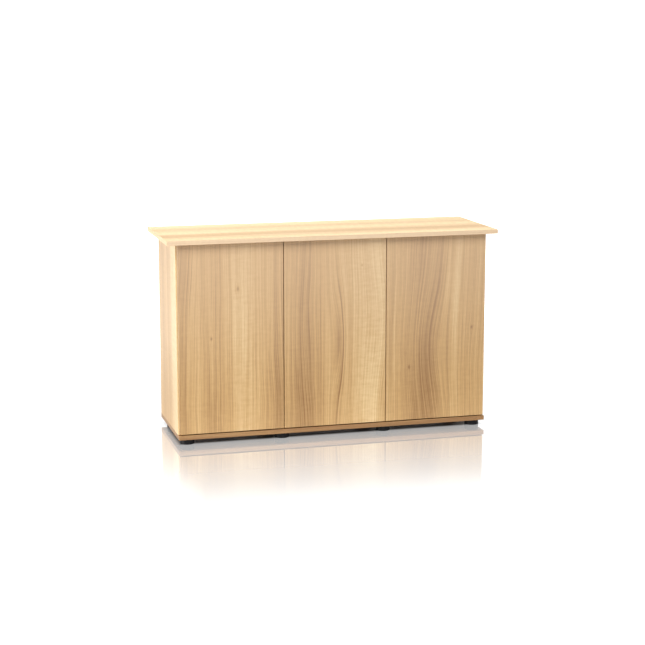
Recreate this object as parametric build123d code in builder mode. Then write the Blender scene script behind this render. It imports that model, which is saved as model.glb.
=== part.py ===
"""Aquarium stand cabinet: a tank board on four uprights, three doors on cup hinges, and eight feet.

X runs from left to right, Y from the front to the back and Z up. The origin is on the floor,
under the middle of the tank board. All sizes are in millimetres.
"""

import os

from build123d import *

# The whole cabinet
top_width = 1210
top_depth = 410
height = 730
board = 16
foot_height = 20
carcass_width = 1142
front_overhang = 19.5
back_overhang = 30.5
back_thickness = 3
edge_round = 0.8

# Doors
door_gap = 3
door_reveal = 4.75
door_stand_off = 2
door_gap_top = 3
door_gap_bottom = 4

# Shelves
shelf_under = 352
shelf_set_back = 20
shelf_side_gap = 1
shelf_rear_gap = 2
pin_radius = 2.5
pin_depth = 8
pin_reach = 9
pin_pitch = 32
pin_rows = (-2, -1, 0, 1)
pin_inset = 37
tongue_half = 3.5
tongue_thickness = 2

# Hose cut-outs in the back panels
hose_width = 160
hose_height = 80
hose_level = 640
hose_corner = 12
seam = 1

# Knock-down joints between the boards
cam_ys = (-110, 110)
cam_drop = 34
cam_radius = 7.5
cam_depth = 12.5
bolt_radius = 3.5
bolt_thread_radius = 2.5
bolt_thread = 11
bolt_neck = 2.5
bolt_head = 2.5
cam_bolt_collar = 20
cam_slot = 1.6
dowel_ys = (-65, 25)
dowel_radius = 4
dowel_in_board = 10
dowel_in_upright = 20
base_screw_ys = (-105, 65)
base_screw_head = 5
base_screw_shank = 3.5
base_screw_thread = 2.4
base_screw_length = 50
base_screw_key = 2.3
nail_radius = 0.7
nail_head = 1.5
nail_head_height = 0.5
nail_length = 18
nail_rows = 5

# Cup hinges, measured from the door's front edge on its hinge side: X into the door, Y to the back
hinge_levels = (140, 611)
arm_pin = (20, 22)
cup_pin = (24, 14)
elbow = (arm_pin[0] + cup_pin[0], arm_pin[1] + cup_pin[1])
hinge_pin_radius = 1.5
pin_play = 0.06
pin_head = 0.5
link_radius = 3
inner_link_half = 3
outer_link_from = 3.3
outer_link_to = 4.8
cup_centre = 22.5
cup_radius = 17.4
cup_recess = 17.5
cup_depth = 11.5
sheet = 1
ear_from = 5.1
ear_to = 6.6
flange_radius = 18.5
flange_reach = 30
flange_width = 12
cup_screw_out = 6
cup_screw_half = 24
cheek_from = 7.5
cheek_to = 9
arm_nose = 4.5
arm_low = 13.5
arm_high = 24.5
arm_neck = 34
arm_end = 82
saddle_half = 7
saddle_from = 42
saddle_to = 78
wing_top = 13.05
wing_from = 47
wing_to = 63
wing_half = 24
plate_screw_half = 16
plate_screw_back = 55
arm_screw_back = 60
arm_screw_radius = 2.2

# Push latches, measured from the upright's face and its front edge
latch_level_outer = 440
latch_level_middle = 400
latch_axis = 8
latch_half = 8
latch_front = 0.5
latch_back = 70
latch_bore = 5.3
latch_bore_end = 62
latch_wing_half = 22
latch_wing_from = 40
latch_wing_to = 60
latch_wing_thickness = 2.5
plunger_radius = 5
plunger_tip_radius = 4.3
plunger_tip = 3
plunger_end = 57
tip_clearance = 0.3
strike_half_width = 6
strike_low = -9
strike_high = 17
strike_screw = 12

# Screws
screw_head = 3.2
screw_head_height = 1.8
screw_radius = 1.6
screw_length = 15
cross = 0.8
arm_screw_head = 3.5
arm_screw_length = 8
hole_play = 0.1

# Feet
foot_radius = 26.5
foot_top_radius = 24.5
foot_groove = (14, 22)
foot_groove_depth = 13
foot_screw_recess = 8
foot_screw_seat = 12
foot_screw_radius = 2
foot_screw_length = 21
foot_screw_head = 4
foot_screw_head_height = 2.5
foot_edge = 1.5
foot_xs = (-535.5, -190, 190, 535.5)
foot_front_y = -148.5
foot_rear_y = 104.5

# Planes and rows that follow from the sizes above
front_y = front_overhang - top_depth / 2
rear_y = top_depth / 2 - back_overhang
door_back_y = front_y + board
carcass_y = door_back_y + door_stand_off
upright_rear_y = rear_y - back_thickness
base_top = foot_height + board
top_under = height - board
door_width = (carcass_width - 2 * door_reveal - 2 * door_gap) / 3
door_pitch = door_width + door_gap
partition_x = door_pitch / 2
side_x = (carcass_width - board) / 2
upright_xs = {
    "side_panel_left": -side_x,
    "partition_left": -partition_x,
    "partition_right": partition_x,
    "side_panel_right": side_x,
}
outer_bay_side = {
    "side_panel_left": 1,
    "partition_left": -1,
    "partition_right": 1,
    "side_panel_right": -1,
}
pin_ys = (carcass_y + pin_inset, upright_rear_y - pin_inset)
nail_margin = 24
nail_step = (top_under - base_top - 2 * nail_margin) / (nail_rows - 1)
nail_levels = [base_top + nail_margin + row * nail_step for row in range(nail_rows)]

# Each door's middle, the side its hinges are on (1 for left), and the faces its hinges and latch use
doors = {
    "left": (-door_pitch, 1, "side_panel_left", "partition_left", latch_level_outer),
    "middle": (0, -1, "partition_right", "partition_left", latch_level_middle),
    "right": (door_pitch, -1, "side_panel_right", "partition_right", latch_level_outer),
}

UP = (Align.CENTER, Align.CENTER, Align.MIN)
DOWN = (Align.CENTER, Align.CENTER, Align.MAX)


def slab(x_span, y_span, z_span, mode=Mode.ADD):
    """A box between two corners, in the part being built."""
    spans = (x_span, y_span, z_span)
    with Locations(tuple(sum(span) / 2 for span in spans)):
        Box(*(span[1] - span[0] for span in spans), mode=mode)


def drill(mouths, out, radius, depth):
    """Round blind holes that open at the mouths, towards the direction out."""
    with Locations(*(Plane(origin=mouth, z_dir=out) for mouth in mouths)):
        Hole(radius, depth)


def round_edges(edges):
    """The small radius of an edge-banded board."""
    fillet(edges, edge_round)


def save(built, name):
    """Labels a finished piece and writes its file."""
    built.part.label = name
    export_step(built.part, f"parts/{name}.step")


def save_group(name, item, planes):
    """Copies of one fastener, each at its own plane, as separate solids."""
    with BuildPart() as group:
        with Locations(*planes):
            add(item)
    save(group, name)


def headed_fastener(head, head_height, shank, length, cross):
    """A fastener whose head seats on the plane z = 0, with a cross recess where it has one."""
    with BuildPart() as piece:
        Cylinder(head, head_height, align=UP)
        chamfer(piece.edges().group_by(Axis.Z)[-1], head_height * 0.3)
        Cylinder(shank, length, align=DOWN)
        if cross:
            with Locations((0, 0, head_height)):
                Box(head, cross, head_height, mode=Mode.SUBTRACT)
                Box(cross, head, head_height, mode=Mode.SUBTRACT)
    return piece.part


def bar(start, end):
    """A link's round-ended outline between two pins, in the sketch being built."""
    middle = ((start[0] + end[0]) / 2, (start[1] + end[1]) / 2)
    SlotCenterPoint(middle, end, 2 * link_radius)


def pin(base, centre, reach):
    """A hinge pin across the hinge's middle plane, in the part being built."""
    with Locations(Plane(origin=base.from_local_coords((*centre, 0)), z_dir=base.z_dir)):
        Cylinder(hinge_pin_radius, 2 * reach)


def hinge_side(name):
    """Where a door turns: its edge's X, its side, and how far the upright's face lies inside it."""
    middle, side, upright, _, _ = doors[name]
    edge_x = middle - side * door_width / 2
    face_x = upright_xs[upright] + side * board / 2
    return edge_x, side, abs(face_x - edge_x)


def hinge_planes(name):
    """A plane at each hinge of a door: X into the door, Y to the back, origin on its front edge."""
    edge_x, side, _ = hinge_side(name)
    return [
        Plane(origin=(edge_x, front_y, level), x_dir=(side, 0, 0), z_dir=(0, 0, side))
        for level in hinge_levels
    ]


def latch_face(name):
    """A door's latch: the X of the upright's face, the direction into the bay, and its level."""
    middle, side, _, upright, level = doors[name]
    face_x = upright_xs[upright] - side * board / 2
    return face_x, -side, level


def cup_screw_mouths(name):
    """Where a door's hinge cups and strike plate are screwed, on the door's back face."""
    edge_x, side, _ = hinge_side(name)
    face_x, into, latch_level = latch_face(name)
    screw_x = edge_x + side * (cup_centre + cup_screw_out)
    mouths = [
        (screw_x, door_back_y, level + offset)
        for level in hinge_levels
        for offset in (-cup_screw_half, cup_screw_half)
    ]
    mouths.append((face_x + into * latch_axis, door_back_y, latch_level + strike_screw))
    return mouths


def plate_screw_spots(name):
    """Where a door's hinge plates are screwed: face X, direction into the bay, and the Y and Z."""
    edge_x, side, face = hinge_side(name)
    return [
        (edge_x + side * face, side, front_y + plate_screw_back, level + offset)
        for level in hinge_levels
        for offset in (-plate_screw_half, plate_screw_half)
    ]


def latch_screw_spots(name):
    """Where a door's latch housing is screwed, in the same form as the hinge plates."""
    face_x, into, level = latch_face(name)
    middle_y = carcass_y + (latch_wing_from + latch_wing_to) / 2
    return [
        (face_x, into, middle_y, level + offset)
        for offset in (-plate_screw_half, plate_screw_half)
    ]


def pin_faces():
    """The four upright faces that carry shelf pins: upright name, face X, direction into the bay."""
    return [
        (name, upright_xs[name] + into * board / 2, into) for name, into in outer_bay_side.items()
    ]


def back_spans():
    """The three back panels' widths, from seam to seam."""
    outer = carcass_width / 2 - seam
    inner = partition_x
    return {
        "left": (-outer, -inner - seam / 2),
        "middle": (-inner + seam / 2, inner - seam / 2),
        "right": (inner + seam / 2, outer),
    }


def nail_spots():
    """The nails of each back panel, in the rear edges of the uprights beside it."""
    spots = {}
    for name, (low, high) in back_spans().items():
        left = -side_x if name == "left" else low + board / 4
        right = side_x if name == "right" else high - board / 4
        spots[name] = [(x, rear_y, z) for x in (left, right) for z in nail_levels]
    return spots


os.makedirs("parts", exist_ok=True)

upright_tops = [(x, y) for x in upright_xs.values() for y in cam_ys]
dowel_spots = [(x, y) for x in upright_xs.values() for y in dowel_ys]
base_screw_spots = [(x, y) for x in upright_xs.values() for y in base_screw_ys]
foot_spots = {
    f"{row}_foot_{number}": (x, y)
    for row, y in (("front", foot_front_y), ("rear", foot_rear_y))
    for number, x in enumerate(foot_xs, start=1)
}
all_nails = [spot for spots in nail_spots().values() for spot in spots]

# The tank board lies on the uprights and overhangs them all round
with BuildPart() as top_board:
    slab(
        (-top_width / 2, top_width / 2),
        (-top_depth / 2, top_depth / 2),
        (top_under, height),
    )
    round_edges(top_board.edges())
    drill([(x, y, top_under) for x, y in upright_tops], (0, 0, -1), bolt_thread_radius, bolt_thread)
    drill([(x, y, top_under) for x, y in dowel_spots], (0, 0, -1), dowel_radius, dowel_in_board)
save(top_board, "top_board")

# The base board carries the uprights and stands on the feet
with BuildPart() as base_board:
    slab(
        (-carcass_width / 2, carcass_width / 2),
        (front_y, rear_y),
        (foot_height, base_top),
    )
    round_edges(base_board.edges())
    drill([(x, y, base_top) for x, y in dowel_spots], (0, 0, 1), dowel_radius, dowel_in_board)
    screw_mouths = [Plane(origin=(x, y, foot_height), z_dir=(0, 0, -1)) for x, y in base_screw_spots]
    with Locations(*screw_mouths):
        CounterSinkHole(base_screw_shank, base_screw_head, board)
    drill(
        [(x, y, foot_height) for x, y in foot_spots.values()],
        (0, 0, -1),
        foot_screw_radius,
        foot_screw_length - (foot_height - foot_screw_seat),
    )
save(base_board, "base_board")

# Four uprights: two side panels and two partitions
for upright_name, upright_x in upright_xs.items():
    cam_into = outer_bay_side[upright_name]
    with BuildPart() as upright:
        slab(
            (upright_x - board / 2, upright_x + board / 2),
            (carcass_y, upright_rear_y),
            (base_top, top_under),
        )
        round_edges(upright.edges().filter_by(Axis.Z).group_by(Axis.Y)[0])
        drill([(upright_x, y, top_under) for y in cam_ys], (0, 0, 1), bolt_radius + hole_play, cam_drop)
        drill(
            [(upright_x + cam_into * board / 2, y, top_under - cam_drop) for y in cam_ys],
            (cam_into, 0, 0),
            cam_radius,
            cam_depth,
        )
        drill([(upright_x, y, top_under) for y in dowel_ys], (0, 0, 1), dowel_radius, dowel_in_upright)
        drill([(upright_x, y, base_top) for y in dowel_ys], (0, 0, -1), dowel_radius, dowel_in_upright)
        drill(
            [(upright_x, y, base_top) for y in base_screw_ys],
            (0, 0, -1),
            base_screw_thread,
            base_screw_length - board + 1,
        )
        for face_name, face_x, into in pin_faces():
            if face_name == upright_name:
                holes = [
                    (face_x, y, shelf_under - pin_radius + row * pin_pitch)
                    for y in pin_ys
                    for row in pin_rows
                ]
                drill(holes, (into, 0, 0), pin_radius, pin_depth)
        for door_name, (_, _, hinge_upright, latch_upright, _) in doors.items():
            spots = []
            if hinge_upright == upright_name:
                spots += plate_screw_spots(door_name)
            if latch_upright == upright_name:
                spots += latch_screw_spots(door_name)
            for face_x, into, y, z in spots:
                drill([(face_x, y, z)], (into, 0, 0), screw_radius, screw_length - 1)
        nails = [(x, upright_rear_y, z) for x, _, z in all_nails if abs(x - upright_x) < board / 2]
        drill(nails, (0, 1, 0), nail_radius, nail_length)
    save(upright, upright_name)

# Thin back panels, one to a bay, each with a cut-out for the filter's hoses and cables
for bay, (low, high) in back_spans().items():
    with BuildPart() as back_panel:
        slab(
            (low, high),
            (upright_rear_y, rear_y),
            (base_top + seam / 2, top_under - seam / 2),
        )
        middle = ((low + high) / 2, rear_y, hose_level)
        with BuildSketch(Plane(origin=middle, x_dir=(1, 0, 0), z_dir=(0, 1, 0))):
            RectangleRounded(hose_width, hose_height, hose_corner)
        extrude(amount=-back_thickness, mode=Mode.SUBTRACT)
        drill(nail_spots()[bay], (0, 1, 0), nail_radius, back_thickness)
    save(back_panel, f"back_panel_{bay}")

# One shelf in each outer bay
for bay, side in (("left", -1), ("right", 1)):
    inner = partition_x + board / 2 + shelf_side_gap
    outer = side_x - board / 2 - shelf_side_gap
    with BuildPart() as shelf:
        slab(
            sorted((side * inner, side * outer)),
            (carcass_y + shelf_set_back, upright_rear_y - shelf_rear_gap),
            (shelf_under, shelf_under + board),
        )
        round_edges(shelf.edges())
    save(shelf, f"shelf_{bay}")

# Doors, with round recesses for the hinge cups in their backs
for door_name, (middle, side, _, _, _) in doors.items():
    edge_x, _, _ = hinge_side(door_name)
    with BuildPart() as door:
        slab(
            (middle - door_width / 2, middle + door_width / 2),
            (front_y, door_back_y),
            (base_top + door_gap_bottom, top_under - door_gap_top),
        )
        round_edges(door.edges())
        cups = [(edge_x + side * cup_centre, door_back_y, level) for level in hinge_levels]
        drill(cups, (0, 1, 0), cup_recess, cup_depth)
        drill(cup_screw_mouths(door_name), (0, 1, 0), screw_radius, screw_length - sheet)
    save(door, f"door_{door_name}")

# Hinge cups: a drawn dish with a screw flange and two ears that hold the outer link's pin
for door_name in doors:
    with BuildPart() as cups:
        for base in hinge_planes(door_name):
            floor = base.from_local_coords((cup_centre, board - cup_depth, 0))
            rim = base.from_local_coords((cup_centre, board, 0))
            screw_row = base.from_local_coords((cup_centre + cup_screw_out, board, 0))
            with BuildSketch(Plane(origin=rim, x_dir=(1, 0, 0), z_dir=(0, 1, 0))):
                Circle(flange_radius)
            extrude(amount=sheet)
            with BuildSketch(Plane(origin=screw_row, x_dir=(1, 0, 0), z_dir=(0, 1, 0))):
                RectangleRounded(flange_width, 2 * flange_reach, flange_width / 3)
            extrude(amount=sheet)
            with Locations(Plane(origin=floor, z_dir=(0, 1, 0))):
                Cylinder(cup_radius, cup_depth, align=UP)
                with Locations((0, 0, sheet)):
                    Cylinder(cup_radius - sheet, cup_depth, align=UP, mode=Mode.SUBTRACT)
            for low in (ear_from, -ear_to):
                with BuildSketch(base.offset(low)):
                    ear_floor = board - cup_depth + sheet / 2
                    with Locations((cup_pin[0], (cup_pin[1] + ear_floor) / 2)):
                        Rectangle(2 * link_radius, cup_pin[1] - ear_floor)
                    with Locations(cup_pin):
                        Circle(link_radius)
                        Circle(hinge_pin_radius + pin_play, mode=Mode.SUBTRACT)
                extrude(amount=ear_to - ear_from)
        mouths = [(x, y + sheet, z) for x, y, z in cup_screw_mouths(door_name)[:-1]]
        drill(mouths, (0, 1, 0), screw_radius + hole_play, sheet)
    save(cups, f"{door_name}_hinge_cups")

# Hinge arms: a channel over the mounting plate, with two cheeks that reach forward to a pin
for door_name in doors:
    with BuildPart() as arms:
        for base in hinge_planes(door_name):
            for low in (cheek_from, -cheek_to):
                with BuildSketch(base.offset(low)):
                    with BuildLine():
                        Polyline(
                            (arm_pin[0] - arm_nose, arm_pin[1]),
                            (arm_low, arm_neck),
                            (arm_low, arm_end),
                            (arm_high, arm_end),
                            (arm_high, arm_pin[1]),
                            close=True,
                        )
                    make_face()
                    with Locations(arm_pin):
                        Circle(arm_nose)
                        Circle(hinge_pin_radius + pin_play, mode=Mode.SUBTRACT)
                extrude(amount=cheek_to - cheek_from)
            with BuildSketch(base):
                with Locations((arm_high - (cheek_to - cheek_from) / 2, (arm_neck + arm_end) / 2)):
                    Rectangle(cheek_to - cheek_from, arm_end - arm_neck)
            extrude(amount=cheek_to, both=True)
            mouth = base.from_local_coords((arm_high, arm_screw_back, 0))
            drill([mouth], base.x_dir, arm_screw_radius + hole_play, cheek_to - cheek_from)
    save(arms, f"{door_name}_hinge_arms")

# Mounting plates: two screw wings and a saddle that the arm is clamped to
for door_name in doors:
    _, side, face = hinge_side(door_name)
    saddle_top = arm_high - (cheek_to - cheek_from)
    with BuildPart() as plates:
        for base in hinge_planes(door_name):
            for x_span, y_span, half in (
                ((face, wing_top), (wing_from, wing_to), wing_half),
                ((face, saddle_top), (saddle_from, saddle_to), saddle_half),
            ):
                with BuildSketch(base):
                    with Locations((sum(x_span) / 2, sum(y_span) / 2)):
                        Rectangle(x_span[1] - x_span[0], y_span[1] - y_span[0])
                extrude(amount=half, both=True)
            screw_mouth = base.from_local_coords((saddle_top, arm_screw_back, 0))
            drill([screw_mouth], base.x_dir, arm_screw_radius, saddle_top - wing_top)
        for face_x, into, y, z in plate_screw_spots(door_name):
            mouth = (face_x + into * (wing_top - face), y, z)
            drill([mouth], (into, 0, 0), screw_radius + hole_play, wing_top - face)
    save(plates, f"{door_name}_hinge_plates")

# Inner links turn on the arms' pins and carry the elbow's bore
for door_name in doors:
    with BuildPart() as inner_links:
        for base in hinge_planes(door_name):
            with BuildSketch(base):
                bar(arm_pin, elbow)
                with Locations(elbow):
                    Circle(hinge_pin_radius + pin_play, mode=Mode.SUBTRACT)
            extrude(amount=inner_link_half, both=True)
            pin(base, arm_pin, cheek_to + pin_head)
    save(inner_links, f"{door_name}_inner_links")

# Outer links are two bars side by side, joined by the elbow's pin and the cup's pin
for door_name in doors:
    with BuildPart() as outer_links:
        for base in hinge_planes(door_name):
            for low in (outer_link_from, -outer_link_to):
                with BuildSketch(base.offset(low)):
                    bar(cup_pin, elbow)
                extrude(amount=outer_link_to - outer_link_from)
            pin(base, elbow, outer_link_to + pin_head)
            pin(base, cup_pin, ear_to + pin_head)
    save(outer_links, f"{door_name}_outer_links")

# Push latches: a bored housing on the upright, a sprung plunger and a strike plate on the door
for door_name in doors:
    face_x, into, level = latch_face(door_name)
    base = Plane(origin=(face_x, carcass_y, level), x_dir=(into, 0, 0), z_dir=(0, 0, into))
    axis_x = face_x + into * latch_axis
    with BuildPart() as housing:
        with BuildSketch(base):
            with Locations((latch_axis, (latch_front + latch_back) / 2)):
                Rectangle(2 * latch_axis, latch_back - latch_front)
        extrude(amount=latch_half, both=True)
        fillet(housing.edges().filter_by(Axis.Y), edge_round)
        with BuildSketch(base):
            with Locations((latch_wing_thickness / 2, (latch_wing_from + latch_wing_to) / 2)):
                Rectangle(latch_wing_thickness, latch_wing_to - latch_wing_from)
        extrude(amount=latch_wing_half, both=True)
        bore_mouth = (axis_x, carcass_y + latch_front, level)
        drill([bore_mouth], (0, -1, 0), latch_bore, latch_bore_end - latch_front)
        for _, _, y, z in latch_screw_spots(door_name):
            mouth = (face_x + into * latch_wing_thickness, y, z)
            drill([mouth], (into, 0, 0), screw_radius + hole_play, latch_wing_thickness)
    save(housing, f"latch_housing_{door_name}")

    tip_y = door_back_y + sheet + tip_clearance
    with BuildPart() as plunger:
        with Locations(Plane(origin=(axis_x, tip_y, level), z_dir=(0, 1, 0))):
            Cylinder(plunger_tip_radius, plunger_tip, align=UP)
            with Locations((0, 0, plunger_tip)):
                Cylinder(plunger_radius, plunger_end - plunger_tip, align=UP)
        fillet(plunger.edges().group_by(Axis.Y)[0], sheet / 2)
    save(plunger, f"latch_plunger_{door_name}")

    with BuildPart() as strike:
        slab(
            (axis_x - strike_half_width, axis_x + strike_half_width),
            (door_back_y, door_back_y + sheet),
            (level + strike_low, level + strike_high),
        )
        fillet(strike.edges().filter_by(Axis.Y), strike_half_width / 2)
        mouth = (axis_x, door_back_y + sheet, level + strike_screw)
        drill([mouth], (0, 1, 0), screw_radius + hole_play, sheet)
    save(strike, f"strike_plate_{door_name}")

# Feet: moulded dishes with a recess for the screw and a ring-shaped hollow below
for foot_name, (foot_x, foot_y) in foot_spots.items():
    with BuildPart() as foot:
        with Locations((foot_x, foot_y, 0)):
            Cone(foot_radius, foot_top_radius, foot_height, align=UP)
            fillet(foot.edges().group_by(Axis.Z)[0], foot_edge)
            Cylinder(foot_groove[1], foot_groove_depth, align=UP, mode=Mode.SUBTRACT)
            Cylinder(foot_groove[0], foot_groove_depth, align=UP)
            Cylinder(foot_screw_recess, foot_screw_seat, align=UP, mode=Mode.SUBTRACT)
            Cylinder(foot_screw_radius + hole_play, foot_height, align=UP, mode=Mode.SUBTRACT)
    save(foot, foot_name)

# Cam bolts stand in the tank board, and each cam in an upright draws its bolt's head down
with BuildPart() as bolt:
    Cylinder(bolt_thread_radius, bolt_thread, align=UP)
    Cylinder(bolt_radius, cam_bolt_collar, align=DOWN)
    Cylinder(bolt_neck, cam_drop + bolt_head, align=DOWN)
    with Locations((0, 0, -cam_drop - bolt_head)):
        Cylinder(bolt_radius - hole_play, 2 * bolt_head, align=UP)
save_group("cam_bolts", bolt.part, [Location((x, y, top_under)) for x, y in upright_tops])

with BuildPart() as cam:
    Cylinder(cam_radius, cam_depth, align=DOWN)
    with Locations((0, 0, 0)):
        Box(cam_radius, cam_slot, 2 * cam_slot, mode=Mode.SUBTRACT)
        Box(cam_slot, cam_radius, 2 * cam_slot, mode=Mode.SUBTRACT)
    with Locations(Plane(origin=(0, 0, -board / 2), z_dir=(0, 1, 0))):
        Cylinder(bolt_radius + hole_play, 2 * cam_radius, mode=Mode.SUBTRACT)
cam_planes = []
for upright_name, upright_x in upright_xs.items():
    cam_into = outer_bay_side[upright_name]
    cam_planes += [
        Plane(
            origin=(upright_x + cam_into * board / 2, y, top_under - cam_drop),
            x_dir=(0, cam_into, 0),
            z_dir=(cam_into, 0, 0),
        )
        for y in cam_ys
    ]
save_group("cam_locks", cam.part, cam_planes)

# Dowels line up each upright with the boards above and below it
with BuildPart() as dowel:
    Cylinder(dowel_radius, dowel_in_board + dowel_in_upright, align=DOWN)
    chamfer(dowel.edges(), edge_round)
dowel_planes = [Plane(origin=(x, y, top_under + dowel_in_board)) for x, y in dowel_spots]
dowel_planes += [
    Plane(origin=(x, y, base_top - dowel_in_board), z_dir=(0, 0, -1)) for x, y in dowel_spots
]
save_group("dowels", dowel.part, dowel_planes)

# Long countersunk screws run up through the base board into the uprights
with BuildPart() as base_screw:
    sink = base_screw_head - base_screw_shank
    with Locations((0, 0, -sink)):
        Cone(base_screw_shank, base_screw_head, sink, align=UP)
    Cylinder(base_screw_shank, board, align=DOWN)
    Cylinder(base_screw_thread, base_screw_length, align=DOWN)
    with BuildSketch():
        RegularPolygon(base_screw_key, 6)
    extrude(amount=-base_screw_shank, mode=Mode.SUBTRACT)
save_group(
    "base_screws",
    base_screw.part,
    [Plane(origin=(x, y, foot_height), z_dir=(0, 0, -1)) for x, y in base_screw_spots],
)

# Screws and nails
small_screw = headed_fastener(screw_head, screw_head_height, screw_radius, screw_length, cross)
for door_name in doors:
    seats = [(x, y + sheet, z) for x, y, z in cup_screw_mouths(door_name)]
    planes = [Plane(origin=seat, z_dir=(0, 1, 0)) for seat in seats]
    save_group(f"door_{door_name}_screws", small_screw, planes)

carcass_planes = []
for door_name in doors:
    _, _, face = hinge_side(door_name)
    stacks = [(spot, wing_top - face) for spot in plate_screw_spots(door_name)]
    stacks += [(spot, latch_wing_thickness) for spot in latch_screw_spots(door_name)]
    for (face_x, into, y, z), thickness in stacks:
        carcass_planes.append(Plane(origin=(face_x + into * thickness, y, z), z_dir=(into, 0, 0)))
save_group("fitting_screws", small_screw, carcass_planes)

arm_screw = headed_fastener(
    arm_screw_head, screw_head_height, arm_screw_radius, arm_screw_length, cross
)
arm_screw_planes = [
    Plane(origin=base.from_local_coords((arm_high, arm_screw_back, 0)), z_dir=base.x_dir)
    for door_name in doors
    for base in hinge_planes(door_name)
]
save_group("arm_screws", arm_screw, arm_screw_planes)

foot_screw = headed_fastener(
    foot_screw_head, foot_screw_head_height, foot_screw_radius, foot_screw_length, cross
)
foot_screw_planes = [
    Plane(origin=(x, y, foot_screw_seat), z_dir=(0, 0, -1)) for x, y in foot_spots.values()
]
save_group("foot_screws", foot_screw, foot_screw_planes)

nail = headed_fastener(nail_head, nail_head_height, nail_radius, nail_length, 0)
save_group("back_nails", nail, [Plane(origin=spot, z_dir=(0, 1, 0)) for spot in all_nails])

# Shelf pins: a round peg with a flat tongue under the shelf
with BuildPart() as shelf_pins:
    for _, face_x, into in pin_faces():
        for y in pin_ys:
            level = shelf_under - pin_radius
            with Locations(Plane(origin=(face_x, y, level), z_dir=(into, 0, 0))):
                Cylinder(pin_radius, pin_depth, align=DOWN)
                Cylinder(pin_radius, pin_reach, align=UP)
            slab(
                sorted((face_x, face_x + into * pin_reach)),
                (y - tongue_half, y + tongue_half),
                (shelf_under - tongue_thickness, shelf_under),
            )
save(shelf_pins, "shelf_pins")
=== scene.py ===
"""Looks of the aquarium stand cabinet: camera, studio and the materials of every CAD node."""

import math

import bpy
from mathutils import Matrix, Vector


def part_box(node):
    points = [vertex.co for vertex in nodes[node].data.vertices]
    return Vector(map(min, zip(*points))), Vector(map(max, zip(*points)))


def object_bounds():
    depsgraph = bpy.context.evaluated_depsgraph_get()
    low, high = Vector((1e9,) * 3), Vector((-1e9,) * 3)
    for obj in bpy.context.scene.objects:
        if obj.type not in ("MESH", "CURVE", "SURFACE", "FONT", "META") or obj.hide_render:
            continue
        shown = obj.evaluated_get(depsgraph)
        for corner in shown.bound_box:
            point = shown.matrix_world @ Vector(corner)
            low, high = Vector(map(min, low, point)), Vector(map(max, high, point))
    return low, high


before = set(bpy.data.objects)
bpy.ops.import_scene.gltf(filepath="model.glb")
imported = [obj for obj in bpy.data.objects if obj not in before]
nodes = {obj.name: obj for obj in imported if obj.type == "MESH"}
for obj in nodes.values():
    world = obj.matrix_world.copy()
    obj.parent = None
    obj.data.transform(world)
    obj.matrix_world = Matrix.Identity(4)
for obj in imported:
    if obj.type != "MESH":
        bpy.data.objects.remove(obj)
cad_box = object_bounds()

DOORS = ("left", "middle", "right")
UPRIGHTS = ("side_panel_left", "partition_left", "partition_right", "side_panel_right")
LEVEL_BOARDS = ("base_board", "shelf_left", "shelf_right")


# ---------------------------------------------------------------- camera and studio

# A long lens, a little to the left and above
CAMERA_PLACE = (-1.560, -5.656, 1.485)
CAMERA_PITCH = math.radians(10.66)
CAMERA_YAW = math.radians(15.45)
CAMERA_LENS = 90.7
CAMERA_SENSOR = 36.0

# Brightness of the white backdrop to the camera and in reflections, and as light on matt surfaces
BACKDROP_SEEN = 1.12
BACKDROP_LIGHT = 0.15

FLOOR_HALF = 12

# Soft lights: place, target, size, watts, colour, and whether reflections show it
NEUTRAL = (1.0, 0.99, 0.97)
LIGHTS = {
    "key_light": ((-1.2, -4.5, 6.5), (0, -0.15, 0.40), (4.0, 4.5), 575, NEUTRAL, True),
    "top_light": ((-0.3, 0.7, 3.0), (0, 0, 0.7), (2.6, 1.8), 26, NEUTRAL, True),
    "front_light": ((-0.4, -4.8, 0.9), (0, -0.2, 0.3), (2.6, 1.2), 9, (1.0, 0.97, 0.92), True),
    "left_light": ((-3.4, -0.7, 1.0), (-0.6, 0, 0.2), (1.6, 2.0), 72, (1.0, 0.97, 0.91), True),
    "back_light": ((0.6, 4.4, 2.2), (0, 0.2, 0.35), (3.0, 2.0), 60, NEUTRAL, False),
}


def add_camera():
    """The camera of the front view."""
    data = bpy.data.cameras.new("camera")
    data.sensor_width = CAMERA_SENSOR
    data.lens = CAMERA_LENS
    camera = bpy.data.objects.new("camera", data)
    camera.location = CAMERA_PLACE
    camera.rotation_euler = (math.pi / 2 - CAMERA_PITCH, 0, -CAMERA_YAW)
    bpy.context.scene.collection.objects.link(camera)
    bpy.context.scene.camera = camera


def add_softbox(name, place, target, size, watts, colour, mirrored):
    """A rectangular area light that faces a point. The camera doesn't see it."""
    data = bpy.data.lights.new(name, "AREA")
    data.shape = "RECTANGLE"
    data.size, data.size_y = size
    data.energy = watts
    data.color = colour
    lamp = bpy.data.objects.new(name, data)
    lamp.location = place
    lamp.rotation_euler = (Vector(target) - Vector(place)).to_track_quat("-Z", "Y").to_euler()
    lamp.visible_camera = False
    lamp.visible_glossy = mirrored
    bpy.context.scene.collection.objects.link(lamp)


def add_world():
    """A white backdrop for the camera and for reflections, and a softer white light on matt surfaces."""
    world = bpy.data.worlds.new("studio")
    bpy.context.scene.world = world
    world.use_nodes = True
    g = Graph(world.node_tree)
    g.tree.nodes.clear()
    light = g.add("ShaderNodeBackground", Color=(1, 1, 1, 1), Strength=BACKDROP_LIGHT)
    seen = g.add("ShaderNodeBackground", Color=(1, 1, 1, 1), Strength=BACKDROP_SEEN)
    path = g.add("ShaderNodeLightPath")
    sharp = g.math("MAXIMUM", path.outputs["Is Camera Ray"], path.outputs["Is Glossy Ray"])
    g.output("ShaderNodeOutputWorld", g.mix_shaders(sharp, light, seen))


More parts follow.
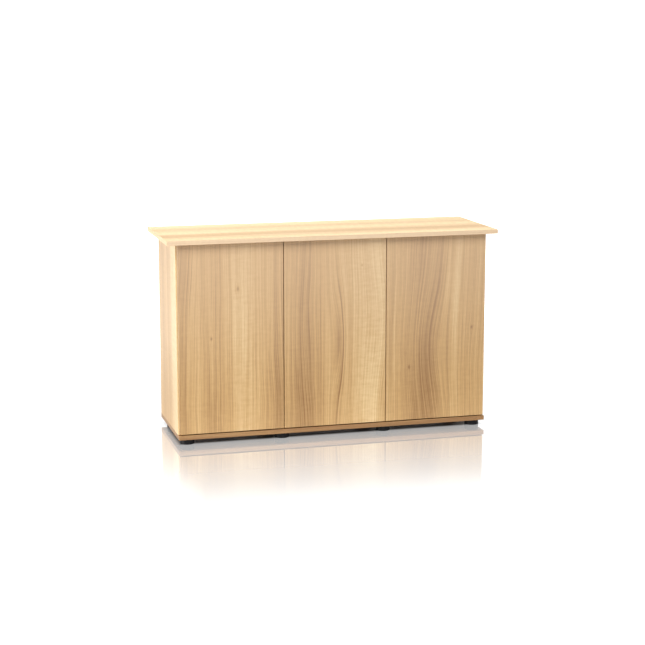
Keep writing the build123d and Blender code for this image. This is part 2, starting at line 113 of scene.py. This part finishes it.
def add_floor():
    """A large pale gloss floor."""
    mesh = bpy.data.meshes.new("floor")
    corners = [(x, y, 0) for x, y in ((-1, -1), (1, -1), (1, 1), (-1, 1))]
    mesh.from_pydata([Vector(corner) * FLOOR_HALF for corner in corners], [], [(0, 1, 2, 3)])
    floor = bpy.data.objects.new("floor", mesh)
    bpy.context.scene.collection.objects.link(floor)
    mesh.materials.append(floor_material())


# ---------------------------------------------------------------- node helpers

class Graph:
    """Short calls that add shader nodes and join them."""

    def __init__(self, tree):
        self.tree = tree

    def add(self, kind, settings=None, **inputs):
        """A node, with its settings, and its inputs by name as values or sockets."""
        node = self.tree.nodes.new(kind)
        for key, value in (settings or {}).items():
            setattr(node, key, value)
        for key, value in inputs.items():
            self.feed(node.inputs[key.replace("_", " ")], value)
        return node

    def feed(self, socket, value):
        """Gives a socket a value, or joins it to another socket."""
        if isinstance(value, bpy.types.NodeSocket):
            self.tree.links.new(value, socket)
        else:
            socket.default_value = value

    def output(self, kind, shader):
        """Joins a shader node to a new output node."""
        self.feed(self.add(kind).inputs[0], shader.outputs[0])

    def math(self, operation, a, b=0.0, c=0.0, clamp=False):
        node = self.add("ShaderNodeMath", {"operation": operation, "use_clamp": clamp})
        for socket, value in zip(node.inputs, (a, b, c)):
            self.feed(socket, value)
        return node.outputs[0]

    def mix(self, factor, a, b):
        """A colour between a and b."""
        node = self.add("ShaderNodeMix", {"data_type": "RGBA"})
        for index, value in ((0, factor), (6, a), (7, b)):
            self.feed(node.inputs[index], value)
        return node.outputs[2]

    def blend(self, factor, a, b):
        """A number between a and b."""
        node = self.add("ShaderNodeMix", {"data_type": "FLOAT"})
        for index, value in ((0, factor), (2, a), (3, b)):
            self.feed(node.inputs[index], value)
        return node.outputs[0]

    def mix_shaders(self, factor, a, b):
        """A shader between a and b."""
        node = self.add("ShaderNodeMixShader", Fac=factor)
        for index, shader in ((1, a), (2, b)):
            self.feed(node.inputs[index], shader.outputs[0])
        return node

    def scaled(self, value, factor):
        return self.math("MULTIPLY", value, factor)

    def stretch(self, value, shift, width):
        """(value - shift) / width, for fixed shift and width."""
        return self.math("MULTIPLY_ADD", value, 1 / width, -shift / width)

    def blob(self, u, v, middle, size):
        """A soft round or long spot: 1 at its middle, fading to 0."""
        across = self.stretch(u, middle[0], size[0])
        along = self.stretch(v, middle[1], size[1])
        square = self.math("MULTIPLY_ADD", across, across, self.math("MULTIPLY", along, along))
        return self.math("EXPONENT", self.scaled(square, -1.0))

    def smooth(self, value, low, high, start=0.0, end=1.0):
        """start below low, end above high, and a soft step between them."""
        node = self.add("ShaderNodeMapRange", {"interpolation_type": "SMOOTHSTEP"}, Value=value)
        for name, number in (("From Min", low), ("From Max", high), ("To Min", start), ("To Max", end)):
            node.inputs[name].default_value = number
        return node.outputs[0]

    def noise(self, vector, scale, detail=3.0, roughness=0.5):
        node = self.add(
            "ShaderNodeTexNoise", Vector=vector, Scale=scale, Detail=detail, Roughness=roughness
        )
        return node.outputs[0]

    def grain(self, u, v, pattern, seed):
        """Noise drawn out along the board: stretch across, stretch along, detail and seed step."""
        across, along, detail, step = pattern
        place = self.add(
            "ShaderNodeCombineXYZ", X=self.scaled(u, across), Y=self.scaled(v, along), Z=seed + step
        )
        return self.noise(place.outputs[0], 1, detail)

    def ramp(self, value, stops, smooth=True):
        """A colour ramp. Each stop is a position and a grey or a colour."""
        node = self.add("ShaderNodeValToRGB", Fac=value)
        node.color_ramp.interpolation = "B_SPLINE" if smooth else "LINEAR"
        elements = node.color_ramp.elements
        while len(elements) < len(stops):
            elements.new(0.5)
        for element, (position, tone) in zip(elements, stops):
            element.position = position
            element.color = tone if isinstance(tone, tuple) else grey(tone)
        return node.outputs[0]

    def bump(self, height, distance, strength):
        return self.add("ShaderNodeBump", Height=height, Distance=distance, Strength=strength).outputs[0]


def grey(tone):
    return (tone, tone, tone, 1)


def linear(red, green, blue):
    """A colour given as 0 to 255 screen values, for a shader."""
    def one(value):
        share = value / 255
        return share / 12.92 if share <= 0.04045 else ((share + 0.055) / 1.055) ** 2.4
    return (one(red), one(green), one(blue), 1)


def darker(colour, share):
    return tuple(share * part for part in colour[:3]) + (1,)


def new_material(name, **surface):
    """A material with one principled shader, whose inputs are given by name."""
    material = bpy.data.materials.new(name)
    material.use_nodes = True
    graph = Graph(material.node_tree)
    shader = material.node_tree.nodes["Principled BSDF"]
    for key, value in surface.items():
        graph.feed(shader.inputs[key.replace("_", " ")], value)
    return material, graph, shader


# ---------------------------------------------------------------- floor

# Distances are measured outwards from the edge of the tank board, in metres.
# Each soft step is: where it starts, where it ends, the value before, the value after.
FLOOR_TINTS = (grey(0.22), grey(0.24))
FLOOR_CLOUD_SCALE = 1.5
# Painted shadow: the floor turns black under the base
FLOOR_PAINTED_SHADOW_UNDER = (-0.054, -0.030, 0.02, 1.0)
FLOOR_GLOW_SIDE = (-0.04, 0.08, 0.76, 1.1)
FLOOR_GLOW_AHEAD = (0.4, 1.7, 0.76, 1.9)
FLOOR_GLOSS_SIDE = (0.0, 0.6, 2.3, 0.0)
FLOOR_GLOSS_AHEAD = (-0.05, 1.15, 1.0, 0.0)
FLOOR_IOR = 1.5
GLOW_LOSS_ON_MATT = -0.86


def floor_material():
    """Pale gloss floor. Away from the cabinet its gloss fades, and a glow keeps it white.

    It is dark under the base, which is a painted shadow, and clear from below, so that the underside can
    be looked at.
    """
    material = bpy.data.materials.new("studio_floor")
    material.use_nodes = True
    g = Graph(material.node_tree)
    g.tree.nodes.clear()
    place = g.add("ShaderNodeTexCoord").outputs["Object"]
    spot = g.add("ShaderNodeSeparateXYZ", Vector=place)
    beside, ahead = (
        g.math("SUBTRACT", g.math("ABSOLUTE", spot.outputs[axis]), edge)
        for axis, edge in (("X", cad_box[1].x), ("Y", cad_box[1].y))
    )
    # Painted shadow under the base: the floor's colour and its glow go to nearly nothing there
    outside_painted_shadow = g.smooth(g.math("MAXIMUM", beside, ahead), *FLOOR_PAINTED_SHADOW_UNDER)

    tint = g.mix(g.noise(place, FLOOR_CLOUD_SCALE, 2), *FLOOR_TINTS)
    matt = g.add("ShaderNodeBsdfDiffuse", Color=g.mix(outside_painted_shadow, grey(0.0), tint))
    glow = g.math("MAXIMUM", g.smooth(beside, *FLOOR_GLOW_SIDE), g.smooth(ahead, *FLOOR_GLOW_AHEAD))
    glow = g.math("MULTIPLY", glow, outside_painted_shadow)
    matt_ray = g.add("ShaderNodeLightPath").outputs["Is Diffuse Ray"]
    glow = g.math("MULTIPLY", glow, g.math("MULTIPLY_ADD", matt_ray, GLOW_LOSS_ON_MATT, 1.0))
    shine = g.add("ShaderNodeEmission", Color=(1, 1, 1, 1), Strength=glow)
    body = g.add("ShaderNodeAddShader")
    for socket, shader in zip(body.inputs, (matt, shine)):
        g.feed(socket, shader.outputs[0])

    mirror = g.add("ShaderNodeBsdfGlossy", Color=(1, 1, 1, 1), Roughness=0.0)
    fresnel = g.add("ShaderNodeFresnel", IOR=FLOOR_IOR).outputs[0]
    near = g.math("MULTIPLY", g.smooth(beside, *FLOOR_GLOSS_SIDE), g.smooth(ahead, *FLOOR_GLOSS_AHEAD))
    polished = g.mix_shaders(g.math("MULTIPLY", fresnel, near, clamp=True), body, mirror)
    below = g.add("ShaderNodeNewGeometry").outputs["Backfacing"]
    clear = g.add("ShaderNodeBsdfTransparent")
    g.output("ShaderNodeOutputMaterial", g.mix_shaders(below, polished, clear))
    return material


# ---------------------------------------------------------------- wood

WOOD_DARK = linear(142, 101, 55)
WOOD_MID = linear(200, 161, 106)
WOOD_LIGHT = linear(234, 206, 156)
# The pale grey-pink of the painted sheen of light on the upper doors
WOOD_PAINTED_SHEEN = linear(206, 182, 160)
WOOD_TAPE = linear(226, 200, 176)
WOOD_SPECULAR = 0.65

# Patterns of the grain: stretch across, stretch along, detail, and the step from the board's seed
SLOW_WANDER = (3.5, 1.6, 2, 0.0)
QUICK_WANDER = (14.0, 5.0, 2, 4.0)
BAND = (60, 0.9, 2, 9)
FINE = (270, 1.1, 3, 2)
HAIR = (95, 0.8, 2, 6)
FIBRE = (1300, 18, 2, 7)
RIPPLE = (26, 95, 2, 3)
PORE = (800, 30, 1, 5)

# How far the grain lines wander sideways, in metres
SLOW_REACH = 0.024
QUICK_REACH = 0.005

# How strongly each pattern changes the tone
BAND_STRENGTH = 0.30
FINE_STRENGTH = 0.90
FIBRE_STRENGTH = 0.42
RIPPLE_STRENGTH = (0.14, 0.36)
RIPPLE_TONES = (0.5, 0.8)
HAIR_STRENGTH = -0.12
HAIR_STOPS = ((0.42, 0.0), (0.47, 1.0), (0.52, 0.0))
KNOT_STRENGTH = -0.45

# A knot swells the lines round it, in multiples of its radius, and is a little longer than wide
KNOT_SWELL = (2.2, 5)
KNOT_PUSH = -0.8
KNOT_LENGTH = 1.5

PORE_STOPS = ((0.60, 0.0), (0.72, 1.0))
PORE_STRENGTH = 0.2
# Places along the board, in metres, where the painted sheen starts and where it is full
PAINTED_SHEEN_LEVELS = (0.10, 0.72)
WOOD_ROUGHNESS = 0.38
WOOD_ROUGHNESS_SPREAD = 0.12
FIBRE_HEIGHT = 0.6
WOOD_BUMP = (0.00008, 0.5)
FACING_LIMIT = 0.6


def grain_lines(g, u, v, seed, drifts, knots):
    """Places across the grain: straight wanders slowly, and line also follows drifts and knots."""
    straight = u
    for pattern, reach in ((SLOW_WANDER, SLOW_REACH), (QUICK_WANDER, QUICK_REACH)):
        wander = g.math("MULTIPLY_ADD", g.grain(u, v, pattern, seed), reach, -reach / 2)
        straight = g.math("ADD", straight, wander)
    line = straight
    for middle_u, middle_v, width, length, push in drifts:
        spot = g.blob(u, v, (middle_u, middle_v), (width, length))
        line = g.math("MULTIPLY_ADD", spot, -push, line)
    for middle_u, middle_v, radius in knots:
        swell = g.blob(u, v, (middle_u, middle_v), [size * radius for size in KNOT_SWELL])
        push = g.scaled(g.math("SUBTRACT", u, middle_u), KNOT_PUSH)
        line = g.math("MULTIPLY_ADD", swell, push, line)
    return straight, line


def add_spots(g, tone, where, v, spots):
    """Lightens or darkens soft spots: across, along, width, length, tone."""
    for middle_u, middle_v, width, length, shade in spots:
        spot = g.blob(where, v, (middle_u, middle_v), (width, length))
        tone = g.math("MULTIPLY_ADD", spot, shade, tone)
    return tone


def add_patterns(g, tone, u, v, line, seed, fibre):
    """Bands, fine lines and hairs along the grain, fibres, and ripples across it on the lighter wood."""
    patterns = (
        (g.grain(line, v, BAND, seed), BAND_STRENGTH),
        (g.grain(line, v, FINE, seed), FINE_STRENGTH),
        (fibre, FIBRE_STRENGTH),
        (g.grain(u, v, RIPPLE, seed), g.smooth(tone, *RIPPLE_TONES, *RIPPLE_STRENGTH)),
    )
    for pattern, strength in patterns:
        tone = g.math("MULTIPLY_ADD", g.math("SUBTRACT", pattern, 0.5), strength, tone)
    hair = g.ramp(g.grain(line, v, HAIR, seed), HAIR_STOPS, smooth=False)
    return g.math("MULTIPLY_ADD", hair, HAIR_STRENGTH, tone)


def wood(
    node, axes, face, seed, tones,
    drifts=(), clouds=(), veins=(), knots=(), lift=0.0, painted_sheen=0.0, tape=0.0,
):
    """Light oak foil on a board.

    axes names the board's directions: across the grain, along it, and through the board.
    face is the best side's place on the through axis. tones run across the board, dark 0 to light 1.
    Places across are counted from the board's middle, and places along from the origin, in metres.
    drifts push the grain lines sideways: across, along, width, length, push.
    clouds lighten or darken: across, along, width, length, tone.
    veins do the same and follow the pushed grain lines. knots: across, along, radius.
    lift lightens the whole board. painted_sheen is how far the foil pales towards the board's upper end:
    a painted sheen of light from above, not a colour of the foil.
    tape is how far the edge tape on the long edges is paler than the faces.
    """
    material, g, shader = new_material(f"oak_{node}", Specular_IOR_Level=WOOD_SPECULAR)
    low, high = (corner["XYZ".index(axes[0])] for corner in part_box(node))
    coordinate = g.add("ShaderNodeTexCoord")
    place = g.add("ShaderNodeSeparateXYZ", Vector=coordinate.outputs["Object"])
    facing = g.add("ShaderNodeSeparateXYZ", Vector=coordinate.outputs["Normal"])
    across, along, through = (place.outputs[axis] for axis in axes)

    def faces(axis):
        """1 where the surface faces along an axis."""
        return g.math("GREATER_THAN", g.math("ABSOLUTE", facing.outputs[axis]), FACING_LIMIT)

    # u and v run across and along the grain, and the figure goes round the board's edges
    end = faces(axes[1])
    u = g.math("SUBTRACT", g.blend(end, across, along), (low + high) / 2)
    u = g.math("ADD", u, g.math("SUBTRACT", through, face))
    v = g.blend(end, along, across)
    straight, line = grain_lines(g, u, v, seed, drifts, knots)
    fibre = g.grain(u, v, FIBRE, seed)
    share = g.math("DIVIDE", g.math("ADD", straight, (high - low) / 2), high - low, clamp=True)
    tone = g.ramp(share, [(i / (len(tones) - 1), tone) for i, tone in enumerate(tones)])
    tone = add_spots(g, tone, straight, v, clouds)
    tone = add_spots(g, tone, line, v, veins)
    tone = add_patterns(g, tone, u, v, line, seed, fibre)
    knot_spots = [(a, b, radius, KNOT_LENGTH * radius, KNOT_STRENGTH) for a, b, radius in knots]
    tone = add_spots(g, tone, u, v, knot_spots)
    tone = g.math("ADD", tone, lift, clamp=True)
    colour = g.ramp(tone, ((0.0, WOOD_DARK), (0.5, WOOD_MID), (1.0, WOOD_LIGHT)), smooth=False)

    # pores are short dark strokes along the grain
    stroke = g.ramp(g.grain(u, v, PORE, seed), PORE_STOPS, smooth=False)
    colour = g.mix(g.scaled(stroke, PORE_STRENGTH), colour, WOOD_DARK)
    # Painted sheen: the foil pales towards the upper end, standing in for light from above
    if painted_sheen:
        colour = g.mix(g.smooth(v, *PAINTED_SHEEN_LEVELS, 0.0, painted_sheen), colour, WOOD_PAINTED_SHEEN)
    if tape:
        colour = g.mix(g.scaled(faces(axes[0]), tape), colour, WOOD_TAPE)
    g.feed(shader.inputs["Base Color"], colour)
    roughness = g.math("MULTIPLY_ADD", fibre, WOOD_ROUGHNESS_SPREAD, WOOD_ROUGHNESS)
    g.feed(shader.inputs["Roughness"], roughness)
    height = g.math("SUBTRACT", g.scaled(fibre, FIBRE_HEIGHT), stroke)
    g.feed(shader.inputs["Normal"], g.bump(height, *WOOD_BUMP))
    return material


# ---------------------------------------------------------------- other materials

# Each bump is its height in metres and its strength. Each gloss spread is how much the roughness varies.
PLASTIC_CLOUD_SCALE = 60
PLASTIC_SPARK_SCALE = 2500
PLASTIC_BUMP = (0.00003, 0.6)
PLASTIC_GLOSS_SPREAD = 0.15
PLASTIC_DARKER = 0.8

METAL_LINE_SCALE = 900
METAL_DRAWN_SCALE = 60
METAL_CLOUD_SCALE = 90
METAL_BUMP = (0.00002, 0.4)
METAL_GLOSS_SPREAD = 0.18
METAL_DARKER = 0.72

BOARD_CLOUD = (9, 4, 0.6)
BOARD_SPECKLE = (700, 3, 0.7)
BOARD_FIBRE_SCALE = (900, 900, 160)
BOARD_BUMP = (0.00008, 0.5)
BOARD_BROWNS = (linear(138, 102, 66), linear(172, 133, 92))
BOARD_SPECK = linear(92, 62, 38)
BOARD_SPECK_STEP = (0.42, 0.66, 0.0, 0.75)
BOARD_FACES = (linear(221, 205, 180), linear(203, 184, 154))
BOARD_FIBRE_SHARE = 0.5
BOARD_ROUGHNESS_BACK = 0.75
BOARD_ROUGHNESS_FACE = 0.5
INNER_FACING = -0.5


def plastic(name, colour, roughness, specular=0.35):
    """Moulded plastic: fine spark-eroded texture and a faint unevenness of the gloss."""
    material, g, shader = new_material(name, Specular_IOR_Level=specular)
    place = g.add("ShaderNodeTexCoord").outputs["Object"]
    cloud = g.noise(place, PLASTIC_CLOUD_SCALE)
    spark = g.noise(place, PLASTIC_SPARK_SCALE, 2)
    g.feed(shader.inputs["Base Color"], g.mix(cloud, darker(colour, PLASTIC_DARKER), colour))
    g.feed(shader.inputs["Roughness"], g.math("MULTIPLY_ADD", cloud, PLASTIC_GLOSS_SPREAD, roughness))
    g.feed(shader.inputs["Normal"], g.bump(spark, *PLASTIC_BUMP))
    return material


def metal(name, colour, roughness, drawn=True):
    """Plated or cast metal with fine drawing lines and cloudy gloss."""
    material, g, shader = new_material(name, Metallic=1.0)
    place = g.add("ShaderNodeTexCoord").outputs["Object"]
    upright = METAL_DRAWN_SCALE if drawn else METAL_LINE_SCALE
    scale = (METAL_LINE_SCALE, METAL_LINE_SCALE, upright)
    stretched = g.add("ShaderNodeMapping", Vector=place, Scale=scale)
    lines = g.noise(stretched.outputs[0], 1)
    cloud = g.noise(place, METAL_CLOUD_SCALE)
    g.feed(shader.inputs["Base Color"], g.mix(cloud, darker(colour, METAL_DARKER), colour))
    g.feed(shader.inputs["Roughness"], g.math("MULTIPLY_ADD", lines, METAL_GLOSS_SPREAD, roughness))
    g.feed(shader.inputs["Normal"], g.bump(lines, *METAL_BUMP))
    return material


def hardboard(name):
    """Pressed fibreboard: a warm brown with speckled fibres, and a pale smooth inner face."""
    material, g, shader = new_material(name)
    coordinate = g.add("ShaderNodeTexCoord")
    place = coordinate.outputs["Object"]
    facing = g.add("ShaderNodeSeparateXYZ", Vector=coordinate.outputs["Normal"])
    inner = g.math("LESS_THAN", facing.outputs["Y"], INNER_FACING)
    cloud = g.noise(place, *BOARD_CLOUD)
    speckle = g.noise(place, *BOARD_SPECKLE)
    stretched = g.add("ShaderNodeMapping", Vector=place, Scale=BOARD_FIBRE_SCALE)
    fibre = g.noise(stretched.outputs[0], 1, 2)
    raw = g.mix(cloud, *BOARD_BROWNS)
    raw = g.mix(g.smooth(speckle, *BOARD_SPECK_STEP), raw, BOARD_SPECK)
    face = g.mix(g.scaled(fibre, BOARD_FIBRE_SHARE), *BOARD_FACES)
    g.feed(shader.inputs["Base Color"], g.mix(inner, raw, face))
    g.feed(shader.inputs["Roughness"], g.blend(inner, BOARD_ROUGHNESS_BACK, BOARD_ROUGHNESS_FACE))
    g.feed(shader.inputs["Normal"], g.bump(g.math("ADD", speckle, fibre), *BOARD_BUMP))
    return material


def dress(node, material):
    """Gives a CAD node its material."""
    mesh = nodes[node].data
    if not mesh.materials:
        mesh.materials.append(None)
    for index in range(len(mesh.materials)):
        mesh.materials[index] = material


# ---------------------------------------------------------------- the boards' figures

# What each row means is said in wood().
DOOR_TONES = {
    "left": (0.30, 0.42, 0.58, 0.40, 0.46, 0.54, 0.60, 0.70, 0.54, 0.56, 0.50, 0.38),
    "middle": (0.50, 0.42, 0.36, 0.40, 0.46, 0.56, 0.50, 0.58, 0.60, 0.68, 0.84, 0.62),
    "right": (0.56, 0.50, 0.44, 0.34, 0.30, 0.34, 0.38, 0.48, 0.58, 0.44, 0.46, 0.52),
}
DOOR_DRIFTS = {
    "left": (
        (-0.15, 0.78, 0.07, 0.34, 0.030),
        (0.17, 0.10, 0.05, 0.25, 0.012),
    ),
    "middle": (
        (0.022, 0.35, 0.032, 0.22, 0.030),
        (-0.12, 0.42, 0.04, 0.25, -0.022),
        (0.17, 0.40, 0.07, 0.22, 0.022),
    ),
    "right": (
        (-0.03, 0.28, 0.08, 0.25, -0.042),
        (0.14, 0.20, 0.05, 0.30, -0.012),
    ),
}
DOOR_CLOUDS = {
    "left": (
        (0.02, 0.46, 0.03, 0.16, 0.12),
        (0.16, 0.14, 0.04, 0.20, -0.20),
        (-0.17, 0.62, 0.03, 0.12, -0.10),
        (-0.06, 0.12, 0.05, 0.14, -0.10),
    ),
    "middle": (
        (-0.12, 0.14, 0.06, 0.22, -0.16),
        (0.018, 0.33, 0.012, 0.16, -0.14),
        (0.10, 0.62, 0.09, 0.20, 0.10),
        (0.12, 0.16, 0.035, 0.18, 0.14),
        (0.18, 0.10, 0.02, 0.14, -0.20),
    ),
    "right": (
        (-0.05, 0.14, 0.06, 0.22, -0.15),
        (-0.06, 0.62, 0.06, 0.14, -0.06),
        (0.06, 0.52, 0.02, 0.12, 0.14),
    ),
}
DOOR_VEINS = {
    "left": (
        (-0.172, 0.60, 0.0018, 0.14, -0.30),
        (-0.160, 0.56, 0.0016, 0.12, -0.26),
        (-0.085, 0.20, 0.0020, 0.16, -0.20),
        (0.150, 0.30, 0.0018, 0.20, -0.22),
    ),
    "middle": (
        (0.001, 0.34, 0.0022, 0.30, -0.62),
        (-0.0175, 0.33, 0.0024, 0.10, -0.34),
        (0.012, 0.34, 0.0016, 0.20, -0.20),
        (-0.105, 0.52, 0.0022, 0.16, -0.26),
        (-0.085, 0.40, 0.0018, 0.22, -0.22),
        (-0.130, 0.20, 0.0022, 0.08, -0.24),
    ),
    "right": (
        (0.022, 0.40, 0.0020, 0.26, -0.36),
        (0.004, 0.36, 0.0018, 0.24, -0.24),
        (-0.040, 0.50, 0.0022, 0.20, -0.30),
        (-0.022, 0.24, 0.0018, 0.14, -0.30),
        (0.110, 0.20, 0.0018, 0.20, -0.26),
    ),
}
DOOR_KNOTS = {
    "left": ((0.024, 0.552, 0.005), (-0.072, 0.378, 0.0035)),
    "middle": ((0.098, 0.617, 0.003),),
    "right": ((0.138, 0.372, 0.004), (-0.101, 0.236, 0.004)),
}
PLAIN_TONES = (0.50, 0.62, 0.42, 0.66, 0.54, 0.44, 0.62, 0.50)
# The side panels' light front end is a painted highlight near the front edge; the other tones are grain
SIDE_TONES_AND_HIGHLIGHT = (1.0, 0.92, 0.70, 0.42, 0.56, 0.40, 0.50, 0.62)
TOP_TONES = (0.90, 0.86, 0.48, 0.46, 0.80, 1.0, 0.58, 0.72, 1.0, 0.95)
DOWEL_TONES = (0.5, 0.6)

# A board's seed gives it its own cut of the foil: the first board's seed, and the step to the next
DOOR_SEEDS = (3.1, 7)
UPRIGHT_SEEDS = (31.3, 5)
LEVEL_SEEDS = (66.7, 5)
TOP_SEED = 61.7
DOWEL_SEED = 91.0

# Painted sheen of light from above: how far the doors pale towards their upper end
DOOR_PAINTED_SHEEN = 0.36
# The base board's foil is darkened: partly a darker tone of its own, partly painted shade of the low
# base
BASE_PAINTED_SHADE = -0.50
TOP_TAPE = 0.6


def dress_boards():
    """Each board has its own cut of the same foil."""
    for number, door in enumerate(DOORS):
        node = f"door_{door}"
        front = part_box(node)[0].y
        seed = DOOR_SEEDS[0] + DOOR_SEEDS[1] * number
        figure = (DOOR_DRIFTS[door], DOOR_CLOUDS[door], DOOR_VEINS[door], DOOR_KNOTS[door])
        dress(node, wood(node, "XZY", front, seed, DOOR_TONES[door], *figure, painted_sheen=DOOR_PAINTED_SHEEN))
    for number, node in enumerate(UPRIGHTS):
        low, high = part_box(node)
        outer = high.x if node == "side_panel_right" else low.x
        seed = UPRIGHT_SEEDS[0] + UPRIGHT_SEEDS[1] * number
        # side panels take the tones with the painted highlight at their front end
        tones = SIDE_TONES_AND_HIGHLIGHT if node.startswith("side") else PLAIN_TONES
        dress(node, wood(node, "YZX", outer, seed, tones))
    for number, node in enumerate(LEVEL_BOARDS):
        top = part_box(node)[1].z
        seed = LEVEL_SEEDS[0] + LEVEL_SEEDS[1] * number
        # the base board is darkened as painted shade
        lift = BASE_PAINTED_SHADE if node == "base_board" else 0.0
        dress(node, wood(node, "YXZ", top, seed, PLAIN_TONES, lift=lift))
    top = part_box("top_board")[1].z
    dress("top_board", wood("top_board", "YXZ", top, TOP_SEED, TOP_TONES, tape=TOP_TAPE))


def dress_fittings():
    """Every other node, by what it is made of."""
    steel = metal("nickel_steel", (0.74, 0.72, 0.69, 1), 0.24)
    zinc = metal("zinc_screws", (0.78, 0.78, 0.74, 1), 0.30, drawn=False)
    cast = metal("cast_zinc", (0.62, 0.62, 0.62, 1), 0.42, drawn=False)
    black = plastic("black_plastic", (0.006, 0.006, 0.007, 1), 0.40, specular=0.14)
    medium = plastic("grey_plastic", (0.36, 0.37, 0.38, 1), 0.42)
    white = plastic("white_plastic", (0.80, 0.80, 0.77, 1), 0.35)
    fibreboard = hardboard("hardboard")
    beech = wood("dowels", "YXZ", 0.0, DOWEL_SEED, DOWEL_TONES)
    for name in nodes:
        if name.startswith("back_panel"):
            dress(name, fibreboard)
        elif "_foot_" in name:
            dress(name, black)
        elif name.startswith("latch_housing"):
            dress(name, medium)
        elif name.startswith("latch_plunger"):
            dress(name, white)
        elif name == "dowels":
            dress(name, beech)
        elif name == "cam_locks":
            dress(name, cast)
        elif name.endswith("screws") or name in ("cam_bolts", "back_nails"):
            dress(name, zinc)
        elif "hinge" in name or "links" in name or name.startswith("strike") or name == "shelf_pins":
            dress(name, steel)


add_camera()
add_world()
add_floor()
for light_name, light in LIGHTS.items():
    add_softbox(light_name, *light)
dress_boards()
dress_fittings()
bpy.context.scene.view_settings.view_transform = "Standard"
